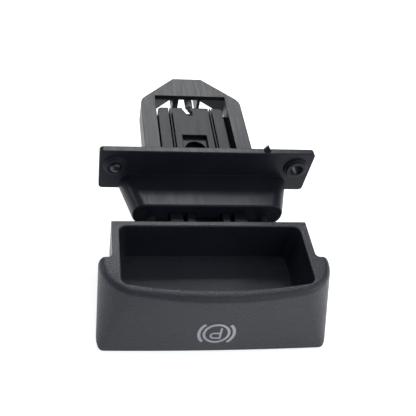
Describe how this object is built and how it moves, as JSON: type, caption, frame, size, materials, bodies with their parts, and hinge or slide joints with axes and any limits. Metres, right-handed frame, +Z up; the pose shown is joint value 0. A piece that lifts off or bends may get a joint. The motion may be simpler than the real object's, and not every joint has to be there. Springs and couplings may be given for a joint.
{
  "type": "parking brake release handle",
  "caption": "Finger cup handle with a fascia on a sliding tongue, sprung in a flanged housing, that pulls a parking brake's release cable.",
  "frame": {"origin": "on the flange's rear seating face, midway between its two fixing points", "axes": "+X to the right seen from the driver, +Y into the panel, +Z up"},
  "size_m": [0.0826, 0.1209, 0.0427],
  "materials": {
    "housing_plastic": "satin moulded black",
    "slide_plastic": "satin moulded black",
    "grip_plastic": "fine grained black",
    "pin_plastic": "smooth black",
    "sleeve_plastic": "smooth grey",
    "stop_rubber": "matt",
    "spring_steel": "drawn wire"
  },
  "bodies": {
    "housing": {"housing": "housing_plastic", "locating_pin": "pin_plastic", "cable_sleeve": "sleeve_plastic", "bump_stop_left": "stop_rubber", "bump_stop_right": "stop_rubber", "return_spring_left": "spring_steel", "return_spring_right": "spring_steel"},
    "handle": {"grip": "grip_plastic", "slide": "slide_plastic"}
  },
  "joints": [
    {"name": "pull", "type": "slide", "parent": "housing", "child": "handle", "axis": [0, -1, 0], "range_m": [0, 0.022], "stiffness_N_per_m": 350, "springref_m": -0.02, "deforming": ["return_spring_left", "return_spring_right"]}
  ]
}
